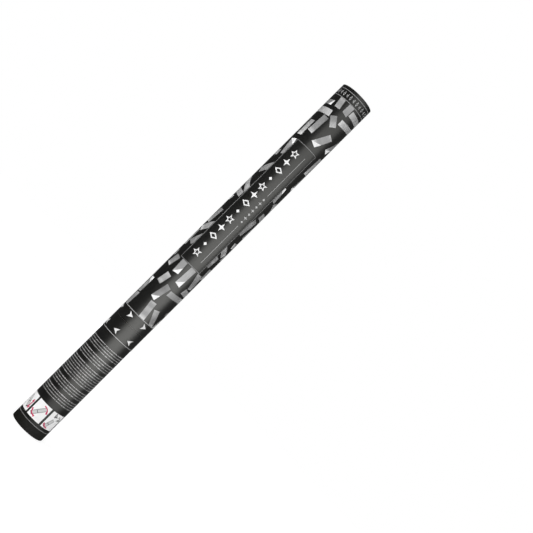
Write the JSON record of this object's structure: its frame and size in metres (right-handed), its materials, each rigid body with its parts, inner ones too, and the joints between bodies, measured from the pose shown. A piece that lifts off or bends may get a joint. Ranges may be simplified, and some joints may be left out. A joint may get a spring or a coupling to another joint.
{
  "type": "confetti popper",
  "caption": "Slim upright tube in two lengths that twist against each other, with an air bottle and ball-locked valve in the handle and stacks of foil strips in the barrel.",
  "frame": {"origin": "centre of the base cap's underside, on the tube's axis", "axes": "+Z along the tube to the muzzle; the front of the print faces -Y; +X to the right of a viewer who faces the print"},
  "size_m": [0.05, 0.05, 0.6],
  "materials": {
    "cap_plastic": "matt black moulded plastic with a fine grain",
    "tube_card": "spiral-wound brown card",
    "label_print": "black printed paper with a satin laminate and silver-grey print",
    "bottle_aluminium": "drawn, bare",
    "seat_aluminium": "turned",
    "seal_rubber": "matt",
    "inner_plastic": "natural moulded plastic",
    "ring_plastic": "blue moulded plastic",
    "plunger_plastic": "red moulded plastic",
    "ball_steel": "polished",
    "wad_foam": "closed-cell foam",
    "foil_strips": "stacked silver foil strips"
  },
  "bodies": {
    "handle": {"base_cap": "cap_plastic", "handle_tube": "tube_card", "handle_label": "label_print", "air_bottle": "bottle_aluminium", "fill_plug": "seal_rubber", "neck_holder": "inner_plastic", "valve_seat": "seat_aluminium", "neck_seal": "seal_rubber", "crimp_collar": "bottle_aluminium", "valve_tower": "inner_plastic", "snap_ring": "ball_steel"},
    "barrel": {"release_ring": "ring_plastic", "coupling_sleeve": "inner_plastic", "barrel_tube": "tube_card", "barrel_label": "label_print", "wad_support": "inner_plastic"},
    "plunger": {"plunger": "plunger_plastic", "plunger_seal": "seal_rubber"},
    "lock_ball_1": {"lock_ball_1": "ball_steel"},
    "lock_ball_2": {"lock_ball_2": "ball_steel"},
    "lock_ball_3": {"lock_ball_3": "ball_steel"},
    "wad": {"wad_foam": "wad_foam", "wad_card": "tube_card"},
    "confetti_pack_1": {"confetti_pack_1": "foil_strips"},
    "confetti_pack_2": {"confetti_pack_2": "foil_strips"},
    "confetti_pack_3": {"confetti_pack_3": "foil_strips"},
    "confetti_pack_4": {"confetti_pack_4": "foil_strips"},
    "confetti_pack_5": {"confetti_pack_5": "foil_strips"},
    "confetti_pack_6": {"confetti_pack_6": "foil_strips"},
    "confetti_pack_7": {"confetti_pack_7": "foil_strips"},
    "muzzle_cap": {"muzzle_cap": "cap_plastic"}
  },
  "joints": [
    {"name": "barrel_twist", "type": "hinge", "parent": "handle", "child": "barrel", "pos_m": [0, 0, 0.185], "axis": [0, 0, 1], "range_deg": [0, 60]},
    {"name": "ball_1_release", "type": "slide", "parent": "handle", "child": "lock_ball_1", "axis": [0, 1, 0], "range_m": [0, 0.0018]},
    {"name": "ball_2_release", "type": "slide", "parent": "handle", "child": "lock_ball_2", "axis": [-0.866, -0.5, 0], "range_m": [0, 0.0018]},
    {"name": "ball_3_release", "type": "slide", "parent": "handle", "child": "lock_ball_3", "axis": [0.866, -0.5, 0], "range_m": [0, 0.0018]},
    {"name": "plunger_rise", "type": "slide", "parent": "handle", "child": "plunger", "axis": [0, 0, 1], "range_m": [0, 0.015]},
    {"name": "wad_shot", "type": "slide", "parent": "barrel", "child": "wad", "axis": [0, 0, 1], "range_m": [0, 0.4]},
    {"name": "pack_1_shot", "type": "slide", "parent": "barrel", "child": "confetti_pack_1", "axis": [0, 0, 1], "range_m": [0, 0.412]},
    {"name": "pack_2_shot", "type": "slide", "parent": "barrel", "child": "confetti_pack_2", "axis": [0, 0, 1], "range_m": [0, 0.424]},
    {"name": "pack_3_shot", "type": "slide", "parent": "barrel", "child": "confetti_pack_3", "axis": [0, 0, 1], "range_m": [0, 0.436]},
    {"name": "pack_4_shot", "type": "slide", "parent": "barrel", "child": "confetti_pack_4", "axis": [0, 0, 1], "range_m": [0, 0.448]},
    {"name": "pack_5_shot", "type": "slide", "parent": "barrel", "child": "confetti_pack_5", "axis": [0, 0, 1], "range_m": [0, 0.46]},
    {"name": "pack_6_shot", "type": "slide", "parent": "barrel", "child": "confetti_pack_6", "axis": [0, 0, 1], "range_m": [0, 0.472]},
    {"name": "pack_7_shot", "type": "slide", "parent": "barrel", "child": "confetti_pack_7", "axis": [0, 0, 1], "range_m": [0, 0.484]},
    {"name": "muzzle_cap_shot", "type": "slide", "parent": "barrel", "child": "muzzle_cap", "axis": [0, 0, 1], "range_m": [0, 0.52]}
  ],
  "couplings": [
    {"joint": "ball_1_release", "follows": "barrel_twist", "m_per_rad": 0.0017189},
    {"joint": "ball_2_release", "follows": "barrel_twist", "m_per_rad": 0.0017189},
    {"joint": "ball_3_release", "follows": "barrel_twist", "m_per_rad": 0.0017189},
    {"joint": "plunger_rise", "follows": "barrel_twist", "m_per_rad": 0.014324},
    {"joint": "pack_1_shot", "follows": "wad_shot", "ratio": 1.03},
    {"joint": "pack_2_shot", "follows": "wad_shot", "ratio": 1.06},
    {"joint": "pack_3_shot", "follows": "wad_shot", "ratio": 1.09},
    {"joint": "pack_4_shot", "follows": "wad_shot", "ratio": 1.12},
    {"joint": "pack_5_shot", "follows": "wad_shot", "ratio": 1.15},
    {"joint": "pack_6_shot", "follows": "wad_shot", "ratio": 1.18},
    {"joint": "pack_7_shot", "follows": "wad_shot", "ratio": 1.21},
    {"joint": "muzzle_cap_shot", "follows": "wad_shot", "ratio": 1.3}
  ]
}
